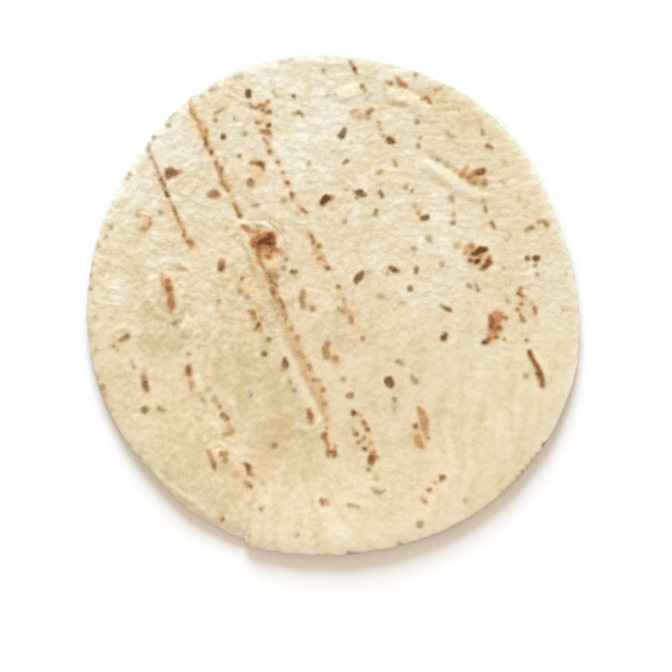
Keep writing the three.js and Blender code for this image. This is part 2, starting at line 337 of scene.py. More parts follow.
# Spots: dark ones that stand alone
SPOTS = (
    ((248.5, 93, 7, 0.95), (248.5, 95.5, 7, 0.95)),
    ((224, 137, 6, 0.9),),
    ((269, 125.5, 5.5, 0.85),),
    ((216, 114, 3.5, 0.6), (220, 111.5, 3.5, 0.65)),
    ((216, 121, 5, 0.72),),
    ((128, 179, 5, 0.45),),
    ((294, 97, 5, 0.74),),
    ((294.5, 113.5, 3.5, 0.5), (299, 112.5, 4.5, 0.65), (303, 116, 3.5, 0.5)),
    ((362.5, 87, 6.5, 0.65), (366, 92, 4, 0.35)),
    ((344.5, 130.5, 6.5, 0.66), (341.5, 136.5, 8, 0.87)),
    ((347, 161, 5, 0.78), (343.5, 164, 4, 0.5)),
    ((378, 173, 5, 0.4), (381, 172, 5, 0.45)),
    ((323, 203, 7, 0.95), (326.5, 198.5, 8, 1.02), (333, 198, 6, 0.45)),
    ((355, 192, 4.5, 0.48), (360, 193.5, 8.5, 0.78), (364.5, 195, 5.5, 0.7)),
    ((357, 198, 3.5, 0.7),),
    ((380, 192, 4, 0.65), (382, 196, 4.5, 0.75)),
    ((376, 211, 5, 0.65), (375.5, 214.5, 5, 0.6)),
    ((422.5, 218, 6, 0.78), (426.5, 217.5, 6.5, 0.84)),
    ((383.5, 136, 4, 0.48),),
    ((394, 161, 4, 0.5), (396, 165, 4.5, 0.6)),
    ((416.5, 122.5, 6, 0.54),),
    ((420, 138, 4, 0.42),),
    ((418.5, 143, 3.5, 0.3), (418.5, 147, 5, 0.58)),
    ((487, 146, 4.5, 0.65), (491, 148.5, 4, 0.65)),
    ((482.5, 200.5, 3.5, 0.45), (485, 207, 3.5, 0.6), (486, 211.5, 4, 0.65)),
    ((491.5, 223, 5, 0.65), (494, 227, 4.5, 0.5)),
    ((362, 273.5, 6, 0.78), (359, 277, 7.5, 0.85), (356, 281, 6, 0.82)),
    ((391, 268.5, 6, 0.8), (394, 270, 6.5, 0.86), (397.5, 271, 5.5, 0.75)),
    ((416.5, 268.5, 5, 0.65), (416, 272, 4.5, 0.7)),
    ((410.5, 288.5, 6, 0.75),),
    ((440.5, 304.5, 3, 0.4), (444.5, 307.5, 4, 0.75), (449.5, 310, 5, 0.85)),
    ((445, 334, 5, 0.74), (443.5, 338, 7, 1.0)),
    ((388, 380.5, 9, 0.84), (390, 383.5, 9, 0.84)),
    ((442, 477, 7, 0.75), (440, 480, 4, 0.5)),
    ((293, 272, 5, 0.8), (296, 271.5, 5, 0.8)),
    ((242.5, 278.5, 5, 0.6),),
    ((269, 339, 5, 0.7),),
    ((264, 354, 7, 0.66),),
    ((285, 358, 4, 0.58), (285.5, 364.5, 8, 0.7)),
    ((368.5, 469.5, 4.5, 0.6),),
    ((527, 258.5, 5.5, 0.85),),
    ((535, 258.5, 7.5, 0.8),),
    ((504, 339, 4, 0.6),),
    ((526, 340.5, 4, 0.6),),
    ((475.5, 285, 4, 0.5), (478, 290.5, 4, 0.6)),
    ((145.5, 409.5, 8, 0.6),),
    ((144, 376, 6, 0.46), (145.5, 382, 7, 0.76), (147, 389, 6, 0.62)),
    ((223.5, 414.5, 7.5, 0.66), (227, 419, 7, 0.58)),
    ((223.5, 519, 5, 0.6),),
    ((542.5, 444.5, 4, 0.6), (547, 442, 4, 0.5)),
)

# Smudges: faint greyish ones, and painted shade along the rim, in the tear's step, beside a fold and round
# the highest blister
SMUDGES_AND_SHADE = (
    ((235, 78, 3.5, 0.4), (241, 76, 3.5, 0.3)),
    ((203, 97, 4, 0.35),),
    ((211, 91, 4, 0.5), (216, 88, 3.5, 0.35)),
    ((223, 110, 3, 0.45),),
    ((235, 119, 4, 0.35),),
    ((245, 134, 4, 0.5),),
    ((171, 119, 3, 0.3), (175, 115, 3, 0.3)),
    ((169, 126, 6, 0.4),),
    ((154, 138, 4.5, 0.5),),
    ((150, 146, 3, 0.5), (149.5, 151, 3.5, 0.45)),
    ((291, 60, 4, 0.3), (281, 63, 5, 0.25)),
    ((323.5, 71, 4, 0.45),),
    ((274, 92, 3, 0.35), (277, 97, 3, 0.35)),
    ((328, 96, 4, 0.4), (335, 96, 4, 0.4)),
    ((370, 94, 4, 0.25), (366, 100, 3.5, 0.3)),
    ((378, 123, 4, 0.4), (380, 130, 4, 0.36)),
    ((384, 90, 4, 0.3),),
    ((415, 76, 4.5, 0.5),),
    ((435.5, 90, 3.5, 0.4), (440, 89.5, 3.5, 0.45)),
    ((447, 134, 5, 0.24), (452, 138, 4, 0.35)),
    ((479, 124, 3, 0.3), (481.5, 130, 3, 0.4), (482.5, 134, 3.5, 0.45)),
    ((130, 174.5, 4, 0.4),),
    ((138, 215, 5, 0.4),),
    ((161, 212.5, 5, 0.4),),
    ((111.5, 227, 4, 0.55), (107, 238, 3.5, 0.5)),
    ((226, 159, 3.5, 0.35),),
    ((254, 206, 3.5, 0.4), (257.5, 205.5, 3.5, 0.45)),
    ((285, 201, 5, 0.35),),
    ((297, 215, 4, 0.3),),
    ((309, 164, 4.5, 0.5),),
    ((346.5, 189.5, 4, 0.3),),
    ((345, 221.5, 4.5, 0.45),),
    ((406, 188, 6, 0.35),),
    ((414, 249.5, 5, 0.5),),
    ((429, 239, 5, 0.45), (432, 243, 3, 0.3)),
    ((503, 162, 4, 0.25),),
    ((503, 183, 4, 0.36),),
    ((484, 184.5, 5.5, 0.55),),
    ((450, 198, 5, 0.5), (453.5, 203, 3, 0.35)),
    ((518.5, 198.5, 4, 0.3),),
    ((506, 241, 3, 0.3), (509, 236, 3, 0.35)),
    ((237, 277, 3, 0.35),),
    ((219, 301, 3.5, 0.35),),
    ((175.5, 323, 4.5, 0.4), (181, 319, 3, 0.25)),
    ((114, 346, 4, 0.4), (119, 350, 3, 0.25)),
    ((262, 318, 3, 0.35), (261, 331, 3.5, 0.4)),
    ((388, 273, 4, 0.4), (368.5, 273, 2.5, 0.4)),
    ((404, 303.5, 4, 0.35), (379.5, 296.5, 4.5, 0.35)),
    ((503, 268, 3, 0.35),),
    ((534.5, 265.5, 3.5, 0.5), (536, 275, 4, 0.5)),
    ((467, 285, 4, 0.4), (469.5, 287.5, 4, 0.5)),
    ((507.5, 301, 4, 0.35),),
    ((562.5, 310, 5, 0.3),),
    ((189, 354.5, 4, 0.5),),
    ((373, 488, 3.5, 0.3), (376, 490.5, 4, 0.4), (380, 492, 4.5, 0.42), (384, 490, 3.5, 0.32)),
    ((145, 372, 5, 0.25),),
    ((132, 361, 3.5, 0.3), (135, 367, 4, 0.42)),
    ((104, 387, 5, 0.72),),
    ((203, 400, 5, 0.32), (206, 391, 5, 0.2)),
    ((209, 388, 5, 0.2), (215, 399, 6, 0.35), (220, 407, 5, 0.4)),
    ((251, 394.5, 5, 0.4),),
    ((274.5, 445.5, 5, 0.5),),
    ((283, 369, 5, 0.3), (290, 382, 4, 0.35)),
    ((343, 379.5, 5, 0.4),),
    ((411.5, 376.5, 4, 0.4), (415.5, 381.5, 5, 0.5)),
    ((394.5, 399.5, 4.5, 0.55), (393.5, 409, 5, 0.3)),
    ((370.5, 443.5, 5, 0.35),),
    ((375.5, 479, 4.5, 0.25),),
    ((525.5, 376, 5, 0.45),),
    ((348.5, 504, 3, 0.42), (353.5, 505.5, 3, 0.42), (358.5, 506.5, 2.5, 0.35)),
    ((261.5, 508, 5, 0.35),),
    ((297.5, 534, 5, 0.35),),
    # Painted shade along the lower left of the rim
    ((148.5, 463.5, 5, 0.25), (170.5, 478, 5, 0.15)),
    ((160, 408, 4.5, 0.5), (164.5, 410.5, 4, 0.4)),
    # Painted shade along the lower left of the rim, here and in the next stroke
    ((97, 374, 4, 0.1), (106, 394, 6, 0.18), (112, 411, 4, 0.12)),
    ((131, 442, 4, 0.2), (141, 456, 5, 0.25)),
    # Painted shadow at the near rim's edge
    ((350, 551.5, 4, 0.5), (356, 551.5, 3, 0.4)),
    # Painted shade along the lower right of the rim
    ((501, 491, 3, 0.3), (506, 487, 3, 0.36), (511, 482, 3, 0.36), (516, 477, 3, 0.36),
     (521, 471, 3.5, 0.42), (526, 465, 3, 0.36), (531, 459, 3, 0.34), (536, 453, 3, 0.36)),
    # Painted shade in the tear's step
    ((250.5, 527, 4, 0.14), (248.5, 535, 5, 0.26), (247.5, 542, 4, 0.24)),
    ((399, 542.5, 4.5, 0.45),),
    ((419.5, 523, 7, 0.45),),
    ((464.5, 500, 5, 0.35),),
    # Painted shade along the left of the rim
    ((93, 262, 2, 0.3), (91.5, 275, 2.5, 0.42), (91.5, 288, 2.5, 0.42), (94, 302, 2.5, 0.35)),
    ((97, 317, 3, 0.4),),
    ((93, 335, 3.5, 0.25),),
    ((97.5, 350, 3, 0.4),),
    ((99, 247, 3, 0.4),),
    # Painted shadow beside the fold at the upper right
    ((431, 157, 3, 0.3), (437, 160.5, 3.5, 0.5), (447, 167, 3, 0.3), (456, 173, 3, 0.32)),
    ((286.5, 259, 4, 0.38), (283.5, 268.5, 5, 0.5)),
    # Painted shadow beyond the raised rim of the highest blister
    ((252, 228, 3, 0.35), (258, 227.5, 4, 0.42), (262.5, 227.5, 3, 0.35)),
)

# Glows: wide soft bands of light toasting
GLOWS = (
    ((190, 103, 10, 0.65), (198, 122, 13, 0.75), (205, 140, 13, 0.8), (211, 154, 11, 0.7)),
    ((218, 167, 11, 0.7), (223, 178, 13, 0.8), (229, 190, 11, 0.7)),
    ((235, 205, 6, 0.45), (240, 215, 7, 0.5)),
    ((155, 178, 7, 0.65), (160, 195, 7, 0.7), (170, 215, 8, 0.7), (180, 234, 9, 0.7), (190, 246, 14, 0.8)),
    ((262, 262, 8, 0.7), (270, 278, 12, 0.95), (277, 292, 9, 0.9), (284, 312, 8, 0.8), (300, 348, 11, 0.7)),
    ((300, 348, 14, 0.6), (306, 366, 14, 0.65), (317, 386, 17, 0.75), (323, 405, 14, 0.7),
     (326, 425, 9, 0.5)),
    ((250, 106, 8, 0.5), (264, 106, 14, 0.6), (266, 134, 12, 0.6), (270, 152, 8, 0.6), (281, 168, 6, 0.5)),
    ((290, 190, 8, 0.5), (303, 211, 9, 0.55), (308, 231, 12, 0.6), (317, 250, 13, 0.65), (326, 270, 11, 0.5)),
    ((338, 288, 9, 0.45), (345, 308, 10, 0.5), (352, 320, 10, 0.5), (363, 338, 10, 0.45)),
    ((354, 69, 9, 0.5), (364, 90, 8, 0.4)),
    ((255, 172, 14, 0.9),),
    ((264, 106, 16, 0.65),),
    ((250, 232, 8, 0.8), (262, 238, 22, 0.9), (266, 250, 18, 0.9), (258, 262, 7, 0.7)),
    ((276, 260, 14, 0.6), (274, 268, 13, 0.55)),
    ((250, 256, 9, 0.45), (253, 268, 11, 0.55), (258, 284, 11, 0.5), (263, 297, 8, 0.4)),
    ((281, 235, 6, 0.35), (282, 248, 8, 0.45)),
    ((354, 115, 9, 0.55), (369, 114, 9, 0.55)),
    ((168, 280, 16, 0.75), (171, 300, 14, 0.7)),
    ((172, 175, 15, 0.6),),
    ((214, 195, 12, 0.6),),
    ((228, 420, 10, 0.7), (229, 432, 10, 0.8)),
    ((215, 455, 8, 0.6), (226, 455, 9, 0.7)),
    ((236, 473, 15, 0.5), (250, 470, 15, 0.6), (264, 466, 24, 0.35)),
    ((421, 412, 14, 0.7), (422, 442, 14, 0.7)),
    ((327, 348, 12, 0.7), (336, 360, 9, 0.6)),
    ((303, 300, 11, 0.6), (313, 309, 9, 0.5)),
    ((466, 174, 15, 0.7), (484, 178, 12, 0.6)),
    ((470, 252, 16, 0.6), (484, 260, 18, 0.6)),
    ((494, 318, 14, 0.6), (494, 338, 14, 0.6)),
    ((536, 373, 6, 0.8), (538, 385, 5, 0.7)),
    ((400, 82, 10, 0.5), (404, 86, 8, 0.5)),
    ((434, 97, 10, 0.7),),
    ((546, 224, 11, 0.45),),
    ((519, 292, 9, 0.5), (520, 310, 9, 0.5)),
    ((354, 412, 9, 0.4), (366, 430, 11, 0.5), (372, 457, 13, 0.7)),
    ((326, 436, 12, 0.7), (331, 452, 14, 0.7)),
    ((311, 415, 11, 0.5),),
    ((434, 484, 14, 0.6), (428, 494, 10, 0.5)),
    ((239, 284, 12, 0.9), (247, 291, 12, 0.8)),
    ((254, 314, 10, 0.5), (259, 328, 9, 0.5)),
    ((186, 366, 13, 0.7), (191, 384, 11, 0.65)),
    ((196, 388, 8, 0.4), (212, 400, 11, 0.45), (224, 414, 12, 0.55)),
    ((146, 377, 14, 0.6), (147, 390, 9, 0.5)),
    ((222, 266, 11, 0.5), (223, 276, 8, 0.4)),
    ((145, 223, 13, 0.7),),
    ((412, 190, 6, 0.45), (414, 200, 6, 0.5), (418, 213, 7, 0.45)),
    ((283, 507, 8, 0.5), (281, 518, 8, 0.5)),
    ((306, 484, 10, 0.4),),
    ((380, 505, 14, 0.35), (382, 530, 14, 0.35)),
    ((363, 228, 6, 0.4), (370, 246, 6, 0.4)),
)

# Broad tints of the crust: straw-coloured where it toasted evenly, floury where dusting flour stayed white,
# and floury along the near rim as painted highlight
STRAW_PATCHES = (
    ((236, 250, 40, 0.25), (262, 305, 60, 0.48), (244, 362, 80, 0.6), (285, 440, 60, 0.6),
     (300, 468, 40, 0.5)),
    ((160, 344, 26, 1),),
    ((112, 262, 24, 0.2), (108, 330, 20, 0.25)),
    ((216, 236, 12, 0.3),),
    ((264, 466, 24, 0.9),),
    ((240, 286, 16, 0.25),),
    ((142, 305, 20, 0.55), (205, 330, 30, 0.25), (178, 382, 40, 0.3)),
    ((120, 390, 40, 0.2), (172, 410, 60, 0.46), (205, 455, 60, 0.52), (235, 490, 46, 0.5)),
    ((311, 123, 16, 0.35),),
    ((330, 340, 50, 0.25), (380, 325, 40, 0.1)),
    ((452, 108, 40, 0.5), (515, 195, 50, 0.22)),
    ((500, 385, 40, 0.15), (470, 420, 50, 0.28), (400, 460, 60, 0.08), (380, 515, 40, 0.28)),
    ((400, 340, 40, 0.15), (350, 470, 40, 0.2)),
)
FLOUR_PATCHES = (
    ((178, 148, 50, 0.5), (150, 195, 40, 0.6), (133, 205, 30, 0.2)),
    ((200, 215, 26, 0.55),),
    ((228, 236, 16, 0.2),),
    ((300, 80, 40, 0.15), (332, 110, 60, 0.6), (300, 150, 60, 0.5), (322, 172, 40, 0.12)),
    ((430, 200, 50, 0.3), (440, 250, 60, 0.4), (472, 230, 40, 0.22), (420, 300, 50, 0.28)),
    ((380, 230, 50, 0.25),),
    ((546, 280, 36, 0.4), (552, 330, 30, 0.28)),
    ((115, 300, 26, 0.75),),
    ((460, 360, 30, 0.55),),
    ((520, 420, 30, 0.3), (480, 470, 24, 0.15)),
    ((260, 410, 20, 0.5),),
    ((230, 508, 20, 0.3),),
    ((370, 398, 16, 0.4),),
    ((226, 127, 10, 0.4),),
    ((235, 148, 18, 0.75),),
    ((262, 200, 22, 0.3),),
    ((276, 88, 30, 0.45), (238, 118, 26, 0.3)),
    # Painted highlight along the near rim
    ((268, 540, 30, 0.5), (330, 545, 40, 0.3), (440, 520, 40, 0.3)),
    ((275, 515, 30, 0.15),),
)

# Ridges: small raised lines of the crust, with a share of the ridge height in the place of a heat; the crust
# on them is also painted paler, as painted highlight
RIDGES = (
    ((386, 93, 8, 0.4), (395, 97, 9, 0.6), (407, 104, 6, 0.75), (419, 113, 7, 0.8), (432, 121, 7, 0.6),
     (443, 127, 5, 0.3)),
    ((425, 162, 3, 0.36), (437, 172, 5, 0.6), (449, 184, 8, 0.75), (461, 193, 9, 0.75), (476, 199, 6, 0.45)),
    ((241, 224, 3, 0.7), (254, 223, 3, 0.9), (267, 225.5, 3, 1), (278, 231, 3, 1.1), (282, 240, 3, 1.1),
     (283, 250, 3, 0.8)),
    ((241, 228, 4, 0.8), (247, 243, 4, 1), (252, 260, 4, 1), (257, 277, 4, 0.8), (262, 300, 6, 0.8),
     (273, 326, 7, 0.7), (283, 351, 8, 0.85), (294, 376, 9, 0.9), (304, 400, 9, 0.9), (314, 420, 7, 0.6)),
    ((299, 425, 4, 0.8), (306, 430, 4, 0.8), (315, 428, 4, 0.8), (320, 421, 4, 0.8)),
    ((183, 328, 4, 1.2), (187, 321, 4, 1.2), (196, 322, 4, 1.2), (199, 331, 4, 1.2), (193, 339, 4, 1.2)),
    ((153, 268, 4, 0.9), (165, 262, 5, 1.2), (180, 263, 5, 1.2), (190, 270, 5, 1.1), (195, 279, 4, 0.6)),
    ((153, 278, 5, 1), (150, 298, 5, 1.2), (157, 312, 5, 1.2), (170, 320, 4, 0.8)),
    ((182, 284, 4, 0.9), (183, 308, 4, 0.9)),
    ((197, 377, 5, 0.9), (200, 389, 6, 1.4), (207, 400, 6, 1.4), (213, 412, 5, 1)),
    ((214, 424, 5, 1), (223, 437, 5, 1.4), (233, 441, 5, 1.1)),
    ((229, 398, 4, 0.9), (236, 415, 5, 1.3), (240, 430, 5, 0.9)),
    ((116, 330, 5, 0.9), (126, 327, 5, 1.3), (134, 333, 5, 0.9)),
    ((102, 243, 4, 0.5), (109, 255, 4, 0.8), (115, 271, 4, 0.5)),
    ((100, 222, 3, 0.4), (107, 212, 4, 0.6), (117, 204, 3, 0.4)),
    ((150, 464, 5, 0.8), (158, 474, 5, 1.2), (178, 491, 5, 1.3), (198, 505, 5, 1.3), (214, 519, 5, 1)),
    ((211, 446, 4, 1.1), (220, 443, 5, 1.5), (230, 448, 4, 1.3), (238, 455, 4, 0.9)),
    ((188, 416, 4, 0.9), (196, 426, 4, 1.2), (206, 440, 4, 1)),
    ((346, 501, 3, 0.6), (361, 504, 3, 0.7)),
)

# Grooves: pressed rows and clefts beside folds, with a share of the groove depth in the place of a heat; the
# crust in them is also painted darker, as painted shade
GROOVES = (
    ((152, 157, 4, 0.6), (161, 180, 4, 0.9), (167, 195, 4, 1), (176, 214, 4, 0.9), (184, 232, 4, 0.9),
     (191, 246, 6, 0.7)),
    ((190, 101, 4, 0.7), (197, 121, 5, 0.9), (206, 140, 6, 1), (216, 163, 5, 1), (229, 191, 5, 0.9),
     (242, 220, 5, 0.8)),
    ((262, 110, 5, 0.7), (268, 132, 5, 0.7), (270, 152, 4, 0.6), (292, 195, 4, 0.5), (304, 212, 4, 0.5)),
    ((311, 236, 5, 0.6), (319, 254, 5, 0.6), (328, 268, 4, 0.5), (351, 320, 5, 0.4)),
    ((278, 316, 3, 0.6), (287, 335, 4, 0.9), (298, 362, 4, 1), (308, 385, 4, 1), (318, 406, 4, 0.9),
     (325, 424, 3, 0.5)),
    ((242, 246, 4, 0.9), (248.5, 264, 5, 1.2), (256, 283, 5, 0.9), (262, 297, 4, 0.5)),
    ((252, 217, 3, 0.4), (261, 218, 4, 0.7), (270, 220, 4, 0.8), (279, 225, 4, 0.8), (286, 235, 4, 0.6)),
    ((168, 271, 4, 0.7), (185, 271, 4, 0.8)),
    ((402, 87, 4, 0.8), (415, 94, 5, 1), (424, 99, 5, 1), (430, 104, 4, 0.6)),
    ((374, 104, 4, 0.5), (390, 106, 4, 0.7), (412, 107, 4, 0.6), (418, 111, 4, 0.4)),
    ((430, 155, 4, 0.7), (440, 163, 5, 0.95), (452, 170, 5, 0.95), (461, 177, 5, 0.95), (470, 185, 5, 0.8),
     (478, 187, 4, 0.5)),
    ((251, 505, 3, 0.5), (250, 525, 4, 0.9), (250, 545, 5, 1)),
)


class Kind(NamedTuple):
    """Marks of one kind: their strokes, how many pixels apart stations still join, how many millimetres their
    edges fade over, how red and strong they are, how much they are broken up, and how grey they are.

    Some kinds have a halo of toasting, and some stand up as bumps so many millimetres high. Both have edges
    of their own."""

    strokes: tuple
    link: float
    soft: float
    redness: float
    gain: float
    broken: float
    greyness: float = 0
    halo: float = 0
    halo_soft: float = 0
    bump: float = 0
    bump_soft: float = 0


MARK_KINDS = (
    Kind(BEADS, link=4, soft=2.6, redness=0.25, gain=1.16, broken=0.12, halo=0.4, halo_soft=5),
    Kind(LINES, link=math.inf, soft=2.6, redness=0.3, gain=1, broken=0.4),
    # Painted shade along the longest fold, laid on like a scorch
    Kind(FOLD_SHADE_BANDS, link=math.inf, soft=5, redness=0.3, gain=1, broken=0.45),
    Kind(
        BURNS, link=8, soft=2.8, redness=0.52, gain=1.1, broken=0.12, halo=0.5, halo_soft=6, bump=0.25,
        bump_soft=4),
    Kind(EMBERS, link=math.inf, soft=3.2, redness=1.2, gain=1.45, broken=0.1),
    Kind(
        SPOTS, link=4, soft=2.4, redness=0.1, gain=1.12, broken=0.1, halo=0.3, halo_soft=5, bump=0.15,
        bump_soft=3),
    # Grey smudges, some of them painted shade along the rim, in the tear's step and beside a fold and a
    # blister
    Kind(SMUDGES_AND_SHADE, link=4, soft=4, redness=0, gain=1.5, broken=0.2, greyness=1),
)


def length_property(name, description, metres):
    """A length that a user may change."""
    return FloatProperty(name=name, description=description, default=metres, unit="LENGTH")


def angle_property(name, description, degrees):
    """An angle that a user may change."""
    return FloatProperty(name=name, description=description, default=math.radians(degrees), subtype="ANGLE")


def colour_property(name, description, colour):
    """A colour that a user may change."""
    return FloatVectorProperty(
        name=name, description=description, default=colour, subtype="COLOR", size=3, min=0, max=1)


def albedo(red, green, blue):
    """The surface colour that shows as this screen colour, of 0 to 255, in the light of the pale table."""
    light_on_table = 1.2
    gloss = 0.009
    screen = (value / 255 for value in (red, green, blue))
    # The sRGB curve of screens
    shown = (((value + 0.055) / 1.055) ** 2.4 for value in screen)
    return tuple(max(value - gloss, 0) / light_on_table for value in shown)


class LavashSizes(bpy.types.PropertyGroup):
    """Sizes of the bread."""

    diameter: length_property("Diameter", "Mean width of the bread", 0.28)
    thickness: length_property("Thickness", "Thickness in the middle", 0.0022)
    rim_thickness: length_property("Rim thickness", "Thickness at the rim", 0.0015)
    rim_rounding: length_property("Rim rounding", "How far the rim's edge is rounded over", 0.0007)
    rim_lift: length_property("Rim lift", "Mean height of the rim over the table", 0.0033)
    rim_fall: length_property("Rim fall", "How far the upper face falls at the rim", 0.00055)
    rim_fall_width: length_property("Rim fall width", "How far in from the rim the upper face falls", 0.007)
    rim_raggedness: length_property("Rim raggedness", "Small ins and outs of the rim", 0.0004)
    curl_start: FloatProperty(
        name="Curl start", description="Share of the radius where the rim starts to rise", default=0.6,
        subtype="FACTOR", min=0, max=1)
    tear_angle: angle_property("Tear angle", "Where the rim is torn, anticlockwise from +X", 250)
    flap_reach: length_property("Flap reach", "How far the torn flap stands out", 0.0052)
    lip_reach: length_property("Lip reach", "How far the lip beside the tear stands out", 0.0021)
    lip_dip: length_property("Lip dip", "How far the lip hangs lower than the flap", 0.002)
    groove_depth: length_property("Groove depth", "Depth of the pressed rows and clefts", 0.00045)
    ridge_height: length_property("Ridge height", "Height of the small ridges", 0.00035)
    squares_above: IntProperty(
        name="Squares above", description="Grid squares across the upper face", default=290, min=8)
    squares_below: IntProperty(
        name="Squares below", description="Grid squares across the underside", default=105, min=8)


class LavashColours(bpy.types.PropertyGroup):
    """Colours of the crust, from the screen colours that they show in the photograph."""

    cream: colour_property("Cream", "Plain baked crust", albedo(233, 218, 185))
    # Flour also serves as painted highlight on ridges, along the rim, on the lip and on the crumb's highs
    flour: colour_property("Flour", "Crust under dusting flour", albedo(241, 234, 216))
    # Straw also serves as painted shade in grooves, on the crumb's lows, at the rim's left and on its wall
    straw: colour_property("Straw", "Evenly toasted crust", albedo(216, 192, 146))
    peach: colour_property("Peach", "Glow round a scorch", albedo(236, 203, 156))
    # The scorch colours below also colour painted shade along the longest fold and painted shadow round the
    # highest blister
    tan: colour_property("Tan", "Lightly scorched crust", albedo(217, 197, 159))
    brown: colour_property("Brown", "Scorched crust", albedo(190, 163, 120))
    umber: colour_property("Umber", "Dark scorch", albedo(147, 118, 83))
    char: colour_property("Char", "Darkest cores", albedo(106, 75, 46))
    warm_tan: colour_property("Warm tan", "Light scorch on a blister", albedo(224, 190, 146))
    warm_brown: colour_property("Warm brown", "Scorch on a blister", albedo(203, 152, 107))
    rust: colour_property("Rust", "Dark scorch on a blister", albedo(154, 100, 60))
    ember: colour_property("Ember", "Darkest middle of a blister's scorch", albedo(122, 62, 28))
    # Ash also colours painted shade among the smudges
    ash: colour_property("Ash", "Faint greyish marks", albedo(184, 162, 127))


class LavashStudio(bpy.types.PropertyGroup):
    """Camera and light."""

    lens: FloatProperty(name="Lens", description="Focal length in millimetres", default=100, min=1)
    sky: FloatProperty(
        name="Sky", description="Strength of the even light from all round", default=0.82, min=0)
    sky_colour: colour_property("Sky colour", "Colour of the even light", (1, 0.86, 0.68))
    sun: FloatProperty(name="Sun", description="Strength of the soft light", default=5.63, min=0)
    sun_colour: colour_property("Sun colour", "Colour of the soft light", (0.592, 0.771, 1))
    sun_height: angle_property("Sun height", "Height of the soft light over the table", 21)
    sun_turn: angle_property("Sun turn", "Turn of the soft light, anticlockwise from +Y", 4)
    sun_softness: angle_property("Sun softness", "Angle that the soft light fills", 30)
    table: colour_property("Table", "Colour of the table", (0.875, 0.875, 0.875))


# Fields over the bread, on arrays of points in millimetres

# How many steps a lattice of random values has before it repeats
LATTICE = 256


def smooth_step(start, end, value):
    """0 before start, 1 after end, and a smooth slope between."""
    share = np.clip((value - start) / (end - start), 0, 1)
    return share * share * (3 - 2 * share)


def value_noise(u, v, seed):
    """Smooth random values from -1 to 1, with a new one at each step of a lattice that the seed turns."""
    lattice = np.random.default_rng(seed).uniform(-1, 1, (LATTICE, LATTICE))
    u, v = u * math.cos(seed) - v * math.sin(seed), u * math.sin(seed) + v * math.cos(seed)
    i = np.floor(u).astype(int)
    j = np.floor(v).astype(int)
    s = smooth_step(0, 1, u - i)
    t = smooth_step(0, 1, v - j)
    here = lattice[i % LATTICE, j % LATTICE]
    right = lattice[(i + 1) % LATTICE, j % LATTICE]
    above = lattice[i % LATTICE, (j + 1) % LATTICE]
    beyond = lattice[(i + 1) % LATTICE, (j + 1) % LATTICE]
    return (here * (1 - s) + right * s) * (1 - t) + (above * (1 - s) + beyond * s) * t


def bumps(x, y, height, step, seed):
    """Random ups and downs, at most as high as height and about as wide as step."""
    return height * value_noise(x / step, y / step, seed)


def mound(distance):
    """A round-topped profile: 1 in the middle, 0 from a distance of 1 outwards."""
    return np.where(distance < 1, (1 - np.minimum(distance, 1) ** 2) ** 2, 0)


def lobes_at(lobes, angle):
    """Sum of the lobes at angles round the rim, in degrees."""
    return sum(lobe.height * np.cos(lobe.count * np.radians(angle - lobe.turn)) for lobe in lobes)


def fold_height(fold, x, y):
    """The highest of the mounds that stand along a fold's crest."""
    crest_stations = 41
    points = np.array(fold.through, float)
    chords = np.hypot(*np.diff(points, axis=0).T)
    along = np.concatenate([[0], np.cumsum(chords)]) / chords.sum()
    steps = np.linspace(0, 1, crest_stations)
    degree = len(points) - 1
    stations = [np.polyval(np.polyfit(along, points[:, axis], degree), steps) for axis in (0, 1)]
    height = np.zeros_like(x)
    for step, station_x, station_y in zip(steps, *stations):
        distance = np.hypot(x - station_x, y - station_y) / fold.reach
        height = np.maximum(height, fold.height * math.sin(math.pi * step) * mound(distance))
    return height


def blister_height(blister, x, y):
    """One mound on an oval."""
    turn = math.radians(blister.turn)
    dx = x - blister.at[0]
    dy = y - blister.at[1]
    along = (dx * math.cos(turn) + dy * math.sin(turn)) / (blister.length / 2)
    across = (dy * math.cos(turn) - dx * math.sin(turn)) / (blister.width / 2)
    return blister.height * mound(np.hypot(along, across))


def swell_height(swell, x, y):
    """One long wave of the dough."""
    turn = math.radians(swell.turn)
    along = x * math.cos(turn) + y * math.sin(turn)
    return swell.height * np.sin(2 * math.pi * along / swell.length + math.radians(swell.start))


def stretches(strokes, pixel):
    """Each stretch between two stations of a stroke, in millimetres. A lone spot makes one with no length."""
    for stroke in strokes:
        stations = [
            np.array([(x - PHOTO_MIDDLE[0]) * pixel, (PHOTO_MIDDLE[1] - y) * pixel, width * pixel / 2, heat])
            for x, y, width, heat in stroke
        ]
        yield from zip(stations, stations[1:] or stations)


def heat_field(strokes, x, y, soft, pixel, link=math.inf):
    """How hot the strokes made each point: their heat inside, none from half of soft past their edges.

    Stations up to half a link apart, in pixels, are joined, and those over one and a half links apart stay
    separate spots."""
    least_length = 1e-9
    field = np.zeros_like(x)
    for start, end in stretches(strokes, pixel):
        reach = max(start[2], end[2]) + soft / 2
        low = np.minimum(start, end)[:2] - reach
        high = np.maximum(start, end)[:2] + reach
        near = np.flatnonzero((x > low[0]) & (x < high[0]) & (y > low[1]) & (y < high[1]))
        run = end - start
        dx = x[near] - start[0]
        dy = y[near] - start[1]
        share = np.clip((dx * run[0] + dy * run[1]) / max(run[0] ** 2 + run[1] ** 2, least_length), 0, 1)
        gap = np.hypot(dx - share * run[0], dy - share * run[1]) - (start[2] + share * run[2])
        bare = math.hypot(run[0], run[1]) - start[2] - end[2]
        links_apart = bare / (link * pixel)
        linked = np.clip(1.5 - links_apart, 0, 1)
        thread = 1 - (1 - linked) * np.sin(math.pi * share) ** 2
        heat = (start[3] + share * run[3]) * thread * smooth_step(soft / 2, -soft / 2, gap)
        field[near] = np.maximum(field[near], heat)
    return field


